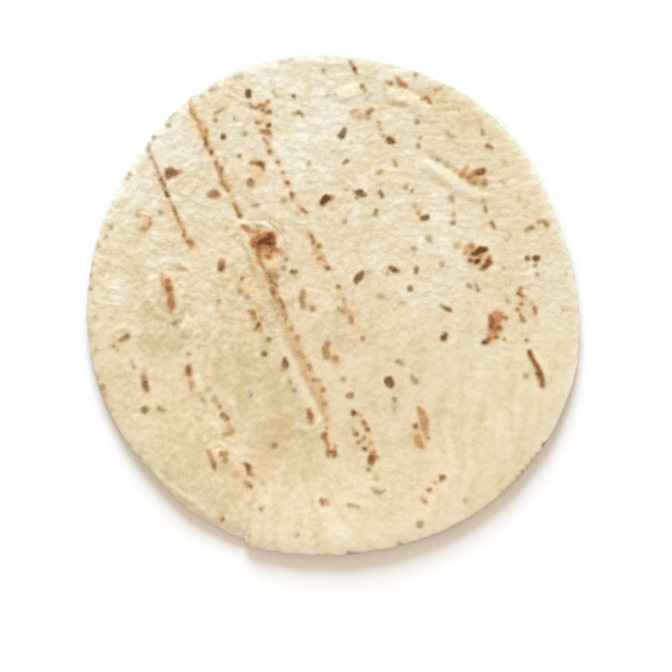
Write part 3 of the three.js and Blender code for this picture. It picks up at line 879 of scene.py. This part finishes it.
def past_tear(sizes, angle):
    """How far angles lie past the tear, anticlockwise, in degrees from -180 to 180."""
    return (angle - math.degrees(sizes.tear_angle) + 180) % 360 - 180


def rim_radius(sizes, angle):
    """How far the rim is from the middle, in millimetres, at angles in degrees."""
    tear_width = 1.6
    flap_fade = 17
    lip_start = 27
    lip_full = 15
    past = past_tear(sizes, angle)
    opened = smooth_step(-tear_width / 2, tear_width / 2, past)
    flap = sizes.flap_reach / MM * np.exp(-np.maximum(past, 0) / flap_fade)
    lip = sizes.lip_reach / MM * smooth_step(-lip_start, -lip_full, past)
    return sizes.diameter / 2 / MM + lobes_at(OUTLINE_LOBES, angle) + lip + (flap - lip) * opened


def angle_on_disc(u, v):
    """The angle in degrees of points of the square from -1 to 1, whose square rings become round ones."""
    sideways = np.abs(u) > np.abs(v)
    across = np.where(sideways, u, np.where(v == 0, 1, v))
    eighths = np.where(sideways, v / across, 2 - u / across)
    return 45 * eighths + np.where(across < 0, 180, 0)


def wander(x, y):
    """The points moved a little to and fro, so that marks get uneven edges."""
    for step, reach, seed in ((3.4, 0.3, 11), (1.5, 0.25, 13)):
        push_x = bumps(x, y, reach, step, seed)
        push_y = bumps(x, y, reach, step, seed + 1)
        x = x + push_x
        y = y + push_y
    return x, y


def right_side(x):
    """0 in the middle and at the left, and 1 at the right."""
    return smooth_step(30, 80, x)


def upright_streaks(x, y):
    """Stretch marks of the dough, from about -1 to 1: upright at the right, and like a fan on the flap."""
    elsewhere = 0.35
    streak_width = 3.2
    streak_length = 19
    bent_x = x + bumps(x, y, height=2, step=22, seed=27)
    upright = elsewhere + (1 - elsewhere) * right_side(x) * smooth_step(40, -10, y)
    streaks = value_noise(bent_x / streak_width, y / streak_length, seed=23) * upright
    fan_x, fan_y = -30, -60
    fan_turn = 0.05
    fan_length = 30
    fan_strength = 1.3
    turn = np.arctan2(x - fan_x, fan_y - y)
    reach = np.hypot(x - fan_x, y - fan_y)
    fan = fan_strength * value_noise(turn / fan_turn, reach / fan_length, seed=28)
    on_flap = smooth_step(-92, -122, y) * smooth_step(0.75, 0.45, np.abs(turn))
    return streaks + (fan - streaks) * on_flap


def grain_strength(x, y):
    """How strongly the crust's grain shows: more on the far side, and less at the right."""
    near_side = 0.78
    far_gain = 0.6
    near_right_loss = 0.2
    far_right_loss = 0.3
    near_right = right_side(x) * smooth_step(-20, -60, y)
    far_right = right_side(x) * smooth_step(15, 55, y)
    far_side = smooth_step(-45, 25, y)
    return near_side + far_gain * far_side - near_right_loss * near_right - far_right_loss * far_right


def crumb_height(x, y):
    """Height in millimetres of the crust's fine grain: pebbles, worm-like ridges and stretch marks."""
    worm_height = 0.16
    worm_length = 5.2
    worm_width = 4.2
    worms = worm_height * (0.5 - np.abs(value_noise(x / worm_length, y / worm_width, seed=21)))
    pebbles = worms + bumps(x, y, height=0.13, step=4.4, seed=22)
    pebbles = pebbles + bumps(x, y, height=0.08, step=2.4, seed=26)
    smoother_right = 0.45
    pebbled = 1 - smoother_right * smooth_step(-60, 30, x)
    level_height = 0.13
    level_length = 10
    level_width = 2.3
    bent_y = y + bumps(x, y, height=3, step=17, seed=24)
    level = level_height * value_noise(x / level_length, bent_y / level_width, seed=25)
    level = level * smooth_step(0, 70, y) * smooth_step(-80, -10, x)
    streak_height = 0.12
    return pebbles * pebbled * grain_strength(x, y) + streak_height * upright_streaks(x, y) + level


def upper_relief(sizes, x, y, share, pixel):
    """Height in millimetres of blisters, swells, ridges, grooves, scorches and grain on the upper face."""
    ridge_soft = 3.2
    groove_soft = 2.8
    blisters = sum(blister_height(blister, x, y) for blister in BLISTERS)
    swells = sum(swell_height(swell, x, y) for swell in SWELLS) * (1 - share)
    ridges = sizes.ridge_height / MM * heat_field(RIDGES, x, y, ridge_soft, pixel)
    grooves = -sizes.groove_depth / MM * heat_field(GROOVES, x, y, groove_soft, pixel)
    scorched = sum(
        kind.bump * heat_field(kind.strokes, x, y, kind.bump_soft, pixel, kind.link)
        for kind in MARK_KINDS if kind.bump
    )
    return blisters + swells + ridges + grooves + scorched + crumb_height(x, y)


def press_into_sheet(sizes, square, pixel):
    """Where the points of the box of squares go on the bread, in millimetres."""
    ragged_step = 5
    ragged_power = 12
    u, v, side = square.T
    share = np.maximum(np.abs(u), np.abs(v))
    angle = angle_on_disc(u, v)
    out_x = np.cos(np.radians(angle))
    out_y = np.sin(np.radians(angle))
    radius = rim_radius(sizes, angle)
    ragged = bumps(radius * out_x, radius * out_y, sizes.rim_raggedness / MM, ragged_step, seed=31)
    rounded = sizes.rim_rounding / MM * (1 - np.sqrt(1 - side ** 2))
    reach = share * (radius - rounded) + ragged * share ** ragged_power
    x = reach * out_x
    y = reach * out_y
    towards_rim = smooth_step(sizes.curl_start, 1, share)
    under = (sizes.rim_lift / MM + lobes_at(RIM_WAVES, angle)) * towards_rim
    under += sum(fold_height(fold, x, y) for fold in FOLDS)
    thickness = (sizes.thickness + (sizes.rim_thickness - sizes.thickness) * towards_rim) / MM
    upper = under + thickness + upper_relief(sizes, x, y, share, pixel)
    under += np.maximum(bumps(x, y, height=0.12, step=4.7, seed=32), 0)
    dip = dip_of_lip(sizes, angle, share)
    fall = fall_at_rim(sizes, angle, share)
    upper -= dip + fall
    under = np.maximum(under - dip - fall / 2, 0)
    return np.stack([x, y, under + (upper - under) * (side + 1) / 2], axis=1)


def fall_at_rim(sizes, angle, share):
    """How far the upper face falls near the rim, in millimetres, ever steeper towards its edge."""
    outwards = np.maximum(1 - (1 - share) * sizes.diameter / 2 / sizes.rim_fall_width, 0)
    return (sizes.rim_fall / MM + lobes_at(FALL_WAVES, angle)) * outwards ** 2


def dip_of_lip(sizes, angle, share):
    """How far the lip before the tear hangs lower, in millimetres, ever steeper towards the rim."""
    dip_start = 0.88
    dip_fade = 9
    before = -past_tear(sizes, angle)
    beside = smooth_step(0, 1, before) * np.exp(-np.maximum(before, 0) / dip_fade)
    outwards = np.maximum((share - dip_start) / (1 - dip_start), 0)
    return sizes.lip_dip / MM * beside * outwards ** 2


def place_of_marks(x, y, below):
    """Where on the upper face points get their marks from.

    Points below get those of the middle of the upper face, turned and larger."""
    turn = math.radians(137)
    shown = 0.6
    under_x = shown * (-x * math.cos(turn) - y * math.sin(turn))
    under_y = shown * (y * math.cos(turn) - x * math.sin(turn))
    return wander(np.where(below, under_x, x), np.where(below, under_y, y))


def painted_rim_light(sizes, x, y, share, side):
    """Painted highlight along the rim, in flour: a little more on the far side, towards the light, and less
    at the left, where it falls below 0 as painted shade in straw. It is below 0 on the rim's wall too, which
    turns the wall straw-coloured.
    """
    floury = 0.65
    far_gain = 0.1
    left_shade = 0.85
    radius = sizes.diameter / 2 / MM
    left_side = smooth_step(0.8, 1, -x / radius)
    wall = smooth_step(0.7, 0, np.abs(side))
    # Painted highlight on the rim's upper face, turning to painted shade at the left
    flour = smooth_step(0.955, 1, share) * (floury + far_gain * y / radius - left_shade * left_side)
    return flour * (1 - wall) - wall


def crust_tint(sizes, x, y, share, side, pixel):
    """How straw-coloured the crust is, and below 0 how floury, with painted shade in grooves, at the rim's
    left and on its wall, and painted highlight on ridges, along the rim and on the lip.
    """
    patch_soft = 26
    crease_soft = 3
    plain = 0.06
    far_loss = 0.28
    lip_highlight = 0.25
    ridge_highlight = 0.4
    groove_shade = 0.45
    streak_loss = 0.2
    straw = heat_field(STRAW_PATCHES, x, y, patch_soft, pixel)
    flour = heat_field(FLOUR_PATCHES, x, y, patch_soft, pixel)
    ridges = heat_field(RIDGES, x, y, crease_soft, pixel)
    grooves = heat_field(GROOVES, x, y, crease_soft, pixel)
    lip = dip_of_lip(sizes, np.degrees(np.arctan2(y, x)), share)
    far_side = y / (sizes.diameter / 2 / MM)
    # The dipped lip is painted paler, a painted highlight against its own shade
    patches = straw - flour - far_loss * far_side + plain - lip_highlight * lip
    # Painted highlight on ridges and painted shade in grooves
    painted_crease_light = groove_shade * grooves - ridge_highlight * ridges
    # Painted highlight along the rim, with painted shade at its left and on its wall
    rim = painted_rim_light(sizes, x, y, share, side)
    return patches + painted_crease_light - rim - streak_loss * upright_streaks(x, y)


def paint_heat(mesh, sizes, x, y, share, side, pixel):
    """Keeps what the griddle did to each point as attributes of the mesh, with the painted highlight and
    painted shade laid on the crust.
    """
    gap_step = 2.3
    glow_soft = 5
    highest_crumb = 0.3
    least_heat = 1e-6
    lower_half = -0.5
    x, y = place_of_marks(x, y, below=side < lower_half)
    gaps = bumps(x, y, height=1, step=gap_step, seed=15)
    fields = [
        kind.gain * heat_field(kind.strokes, x, y, kind.soft, pixel, kind.link) * (1 + kind.broken * gaps)
        for kind in MARK_KINDS
    ]
    halos = [
        kind.halo * heat_field(kind.strokes, x, y, kind.halo_soft, pixel, kind.link)
        for kind in MARK_KINDS if kind.halo
    ]
    glows = heat_field(GLOWS, x, y, glow_soft, pixel)
    total = np.maximum(sum(fields), least_heat)
    # The mark attributes also carry painted shade, and the tint painted highlight and painted shade
    values = {
        "scorch": np.maximum.reduce(fields),
        "ember": sum(field * kind.redness for field, kind in zip(fields, MARK_KINDS)) / total,
        "smudge": sum(field * kind.greyness for field, kind in zip(fields, MARK_KINDS)) / total,
        "toast": np.maximum.reduce([glows, *halos]),
        "tint": crust_tint(sizes, x, y, share, side, pixel),
        # Painted highlight on the crumb's highs and painted shade in its lows
        "dust": np.clip(crumb_height(x, y) / highest_crumb, -1, 1),
        "grain": grain_strength(x, y),
    }
    for name, value in values.items():
        mesh.attributes.new(name, "FLOAT", "POINT").data.foreach_set("value", value.astype(np.float32))


def box_of_squares(bm, squares_above, squares_below):
    """A closed box from -1 to 1, with fine squares above, coarser ones below and bands round its sides."""
    bmesh.ops.create_grid(
        bm, x_segments=squares_above, y_segments=squares_above, size=1, matrix=Matrix.Translation((0, 0, 1)))
    rim = [edge for edge in bm.edges if edge.is_boundary]
    bands = (0.6, 0, -0.6)
    for level in bands:
        made = bmesh.ops.extrude_edge_only(bm, edges=rim)["geom"]
        for vertex in (item for item in made if isinstance(item, bmesh.types.BMVert)):
            vertex.co.z = level
        rim = [item for item in made if isinstance(item, bmesh.types.BMEdge) and item.is_boundary]
    bmesh.ops.create_grid(
        bm, x_segments=squares_below, y_segments=squares_below, size=1, matrix=Matrix.Translation((0, 0, -1)))
    bmesh.ops.bridge_loops(bm, edges=[edge for edge in bm.edges if edge.is_boundary])
    bmesh.ops.recalc_face_normals(bm, faces=bm.faces)
    if any(not edge.is_manifold for edge in bm.edges):
        raise RuntimeError("the box of squares isn't closed")


def cut_short_way(mesh):
    """Cuts the squares in two along their shorter diagonals, so that marks stay even on slanted ones."""
    bm = bmesh.new()
    bm.from_mesh(mesh)
    bmesh.ops.triangulate(bm, faces=bm.faces, quad_method="SHORT_EDGE")
    bm.to_mesh(mesh)
    bm.free()


# Materials


class Wire:
    """One output of a shader node. Arithmetic on wires adds Math nodes."""

    def __init__(self, tree, socket=None):
        self.tree = tree
        self.socket = socket

    def node(self, kind, settings=None, output=0, **values):
        """Adds a node with its settings, sets or links its inputs by name or place, and gives one output."""
        made = self.tree.nodes.new(kind)
        for name, setting in (settings or {}).items():
            if name == "stops":
                self.set_stops(made.color_ramp.elements, setting)
            else:
                setattr(made, name, setting)
        for name, value in values.items():
            place = int(name[1:]) if name[1:].isdigit() else name.replace("_", " ")
            self.feed(made.inputs[place], value)
        return Wire(self.tree, made.outputs[output])

    def feed(self, socket, value):
        """Links a wire to a socket, or sets a plain value on it."""
        if isinstance(value, Wire):
            self.tree.links.new(value.socket, socket)
        elif hasattr(value, "__len__") and socket.type == "RGBA":
            socket.default_value = (*value[:3], 1)
        else:
            socket.default_value = value

    @staticmethod
    def set_stops(elements, stops):
        """Gives a ramp its stops, as pairs of a place from 0 to 1 and a colour."""
        while len(elements) < len(stops):
            elements.new(1)
        for element, (place, colour) in zip(elements, stops):
            element.position = place
            element.color = (*colour[:3], 1)

    def math(self, operation, first, second):
        """A Math node on two values."""
        return self.node("ShaderNodeMath", {"operation": operation}, i0=first, i1=second)

    def __add__(self, other):
        return self.math("ADD", self, other)

    def __sub__(self, other):
        return self.math("SUBTRACT", self, other)

    def __rsub__(self, other):
        return self.math("SUBTRACT", other, self)

    def __mul__(self, other):
        return self.math("MULTIPLY", self, other)

    __radd__ = __add__
    __rmul__ = __mul__

    def between(self, start, end):
        """0 below start, 1 above end, and a smooth slope between."""
        settings = {"interpolation_type": "SMOOTHSTEP"}
        return self.node("ShaderNodeMapRange", settings, Value=self, From_Min=start, From_Max=end)

    def mix(self, first, second):
        """The first colour where this wire is 0, the second where it is 1."""
        settings = {"data_type": "RGBA"}
        return self.node("ShaderNodeMix", settings, 2, i0=self, i6=first, i7=second)

    def times(self, other):
        """The product of two colours."""
        settings = {"data_type": "RGBA", "blend_type": "MULTIPLY"}
        return self.node("ShaderNodeMix", settings, 2, i0=1.0, i6=self, i7=other)

    def ramp(self, stops):
        """A colour from a ramp of stops."""
        return self.node("ShaderNodeValToRGB", {"stops": stops}, Fac=self)

    def noise(self, cell, detail=2.0):
        """Noise from 0 to 1 with patches about as wide as cell, read at this wire's place."""
        return self.node("ShaderNodeTexNoise", Vector=self, Scale=1 / cell, Detail=detail).between(0.28, 0.72)

    def swing(self, width):
        """A value of 0 to 1 made one that swings over this width, half above 0 and half below."""
        return (self - 0.5) * width

    def attribute(self, name):
        """A value that the mesh keeps at its points."""
        return self.node("ShaderNodeAttribute", {"attribute_name": name}, "Fac")


def new_material(name):
    """An empty node material, its output node, and a wire to start from."""
    material = bpy.data.materials.new(name)
    material.use_nodes = True
    tree = material.node_tree
    tree.nodes.clear()
    return material, tree.nodes.new("ShaderNodeOutputMaterial"), Wire(tree)


def scorch_ramp(heat, steps, plain):
    """The stain of the crust as it gets hotter, from pairs of a heat and the colour of plain crust at it."""
    hottest = 1.2
    stains = [
        (step / hottest, [part / whole for part, whole in zip(colour, plain)])
        for step, colour in steps
    ]
    return (heat * (1 / hottest)).ramp(((0, (1, 1, 1)), *stains))


def crust_material(colours):
    """Baked crust: floury cream and straw with fine crumb, browned and charred where the mesh was hot,
    with painted highlight and painted shade laid in its tint, crumb and marks.
    """
    material, output, wire = new_material("lavash_crust")
    place = wire.node("ShaderNodeTexCoord", output="Object")
    place = wire.node("ShaderNodeVectorMath", {"operation": "SCALE"}, i0=place, Scale=1 / MM)
    cloud = place.noise(cell=38, detail=3)
    blotch = place.noise(cell=9)
    fleck = place.noise(cell=3.2)
    crumb = place.noise(cell=1.4)
    grit = place.noise(cell=0.6)

    grain_light_strength = 0.35
    grain = wire.attribute("grain")
    # The crumb's painted light: its highs lean to flour as painted highlight, its lows to straw as painted
    # shade
    tint = wire.attribute("tint") - wire.attribute("dust") * grain_light_strength + cloud.swing(0.15)
    tint = tint + (blotch.swing(0.4) + fleck.swing(0.5) + crumb.swing(0.2)) * grain
    base = tint.between(-1.1, 0.1).mix(colours.flour, colours.cream)
    base = tint.between(-0.1, 1.1).mix(base, colours.straw)

    speck_heat = 0.1
    scorched_loss = 0.7
    speck = place.noise(cell=2.4, detail=1).between(0.72, 0.98) * wire.attribute("toast")
    # The heat also holds painted shade along the longest fold and along the rim, in the tear and beside folds
    heat = wire.attribute("scorch") * (0.88 + fleck * 0.12 + crumb * 0.14) + speck * speck_heat
    toast = wire.attribute("toast") * (0.6 + blotch * 0.3 + fleck * 0.5)
    toast = toast.between(0.05, 1.1) * (1 - heat.between(0.2, 0.7) * scorched_loss)
    base = toast.mix(base, colours.peach)

    steps = (0.25, 0.5, 0.8, 1.05)
    shades = (
        (colours.tan, colours.brown, colours.umber, colours.char),
        (colours.warm_tan, colours.warm_brown, colours.rust, colours.ember),
        (colours.tan, colours.ash),
    )
    umber, ember, ash = (scorch_ramp(heat, zip(steps, shade), colours.cream) for shade in shades)
    stain = wire.attribute("ember").mix(umber, ember)
    # Grey smudges, and the painted shade among them, take the ash ramp
    stain = wire.attribute("smudge").mix(stain, ash)

    dry = 0.86
    charred_loss = 0.08
    height = (blotch.swing(0.4) + fleck.swing(0.5) + crumb.swing(0.12) + grit.swing(0.03)) * grain
    bumped = wire.node("ShaderNodeBump", Strength=0.65, Distance=0.25 * MM, Height=height)
    roughness = dry + crumb.swing(0.1) - heat.between(0.4, 0.9) * charred_loss
    shader = wire.node(
        "ShaderNodeBsdfPrincipled", Base_Color=base.times(stain), Roughness=roughness, Normal=bumped,
        Specular_IOR_Level=0.25)
    wire.feed(output.inputs["Surface"], shader)
    return material


def table_material(colour):
    """The pale table: white with a very faint mottle."""
    material, output, wire = new_material("pale_table")
    faint = 0.02
    place = wire.node("ShaderNodeTexCoord", output="Object")
    mottle = place.noise(cell=0.2).between(0.2, 0.8) * faint
    shader = wire.node(
        "ShaderNodeBsdfPrincipled", Base_Color=mottle.mix(colour, (1, 1, 1)), Roughness=0.9,
        Specular_IOR_Level=0.1)
    wire.feed(output.inputs["Surface"], shader)
    return material


# Operators


class LAVASH_OT_bread(bpy.types.Operator):
    """Bakes the bread in the place of its solid"""

    bl_idname = "lavash.bread"
    bl_label = "Bake the bread"

    def execute(self, context):
        sizes = context.scene.lavash_sizes
        pixel = sizes.diameter / MM / PHOTO_DIAMETER
        bm = bmesh.new()
        box_of_squares(bm, sizes.squares_above, sizes.squares_below)
        mesh = bpy.data.meshes.new("lavash_bread")
        bm.to_mesh(mesh)
        bm.free()
        square = np.empty(len(mesh.vertices) * 3)
        mesh.vertices.foreach_get("co", square)
        square = square.reshape(-1, 3)
        points = press_into_sheet(sizes, square, pixel)
        share = np.abs(square[:, :2]).max(axis=1)
        paint_heat(mesh, sizes, points[:, 0], points[:, 1], share, square[:, 2], pixel)
        middle = (points.min(axis=0) + points.max(axis=0)) / 2
        middle[2] = 0
        context.scene["lavash_middle"] = [float(value * MM) for value in middle]
        mesh.vertices.foreach_set("co", ((points - middle) * MM).ravel())
        cut_short_way(mesh)
        mesh.update()
        mesh.shade_smooth()
        mesh.materials.append(crust_material(context.scene.lavash_colours))
        bread = bpy.data.objects.new("lavash_bread", mesh)
        context.scene.collection.objects.link(bread)
        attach(bread, "root")
        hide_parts("lavash")
        return {"FINISHED"}


class LAVASH_OT_stage(bpy.types.Operator):
    """Sets the table, the light and a camera that looks straight down"""

    bl_idname = "lavash.stage"
    bl_label = "Set the stage"

    def execute(self, context):
        scene = context.scene
        studio = scene.lavash_studio
        self.lay_table(scene, studio)
        self.hang_lights(scene, studio)
        self.place_camera(scene, studio)
        scene.view_settings.view_transform = "Standard"
        return {"FINISHED"}

    def lay_table(self, scene, studio):
        table_size = 3
        hair_under = Matrix.Translation((0, 0, -0.1 * MM))
        bm = bmesh.new()
        bmesh.ops.create_grid(bm, x_segments=1, y_segments=1, size=table_size, matrix=hair_under)
        mesh = bpy.data.meshes.new("table")
        bm.to_mesh(mesh)
        bm.free()
        mesh.materials.append(table_material(studio.table))
        table = bpy.data.objects.new("table", mesh)
        scene.collection.objects.link(table)

    def hang_lights(self, scene, studio):
        lamp = bpy.data.lights.new("window", "SUN")
        lamp.energy = studio.sun
        lamp.angle = studio.sun_softness
        lamp.color = studio.sun_colour
        window = bpy.data.objects.new("window", lamp)
        turn = studio.sun_turn
        level = math.cos(studio.sun_height)
        towards = Vector((-math.sin(turn) * level, math.cos(turn) * level, math.sin(studio.sun_height)))
        window.rotation_euler = towards.to_track_quat("Z", "Y").to_euler()
        scene.collection.objects.link(window)
        world = bpy.data.worlds.new("studio")
        world.use_nodes = True
        background = world.node_tree.nodes["Background"]
        background.inputs["Color"].default_value = (*studio.sky_colour, 1)
        background.inputs["Strength"].default_value = studio.sky
        scene.world = world

    def place_camera(self, scene, studio):
        pixel = scene.lavash_sizes.diameter / PHOTO_DIAMETER
        lens = bpy.data.cameras.new("camera")
        lens.lens = studio.lens
        distance = PHOTO_SIDE * pixel * studio.lens / lens.sensor_width
        camera = bpy.data.objects.new("camera", lens)
        aim_x = (PHOTO_SIDE / 2 - PHOTO_MIDDLE[0]) * pixel
        aim_y = (PHOTO_MIDDLE[1] - PHOTO_SIDE / 2) * pixel
        middle = Vector(scene["lavash_middle"])
        camera.location = Vector((aim_x, aim_y, distance)) - middle
        scene.collection.objects.link(camera)
        scene.camera = camera


class LAVASH_PT_panel(bpy.types.Panel):
    """Sizes, colours and light of the bread, with the operators that make it"""

    bl_label = "Lavash"
    bl_idname = "LAVASH_PT_panel"
    bl_space_type = "VIEW_3D"
    bl_region_type = "UI"
    bl_category = "Lavash"

    def draw(self, context):
        layout = self.layout
        for group in (context.scene.lavash_sizes, context.scene.lavash_colours, context.scene.lavash_studio):
            column = layout.column(align=True)
            for name in group.__annotations__:
                column.prop(group, name)
        layout.operator(LAVASH_OT_bread.bl_idname)
        layout.operator(LAVASH_OT_stage.bl_idname)


CLASSES = (LavashSizes, LavashColours, LavashStudio, LAVASH_OT_bread, LAVASH_OT_stage, LAVASH_PT_panel)


def register():
    for cls in CLASSES:
        bpy.utils.register_class(cls)
    bpy.types.Scene.lavash_sizes = PointerProperty(type=LavashSizes)
    bpy.types.Scene.lavash_colours = PointerProperty(type=LavashColours)
    bpy.types.Scene.lavash_studio = PointerProperty(type=LavashStudio)


def unregister():
    del bpy.types.Scene.lavash_studio
    del bpy.types.Scene.lavash_colours
    del bpy.types.Scene.lavash_sizes
    for cls in reversed(CLASSES):
        bpy.utils.unregister_class(cls)


def main():
    register()
    bpy.ops.lavash.bread()
    bpy.ops.lavash.stage()


if __name__ == "__main__":
    main()
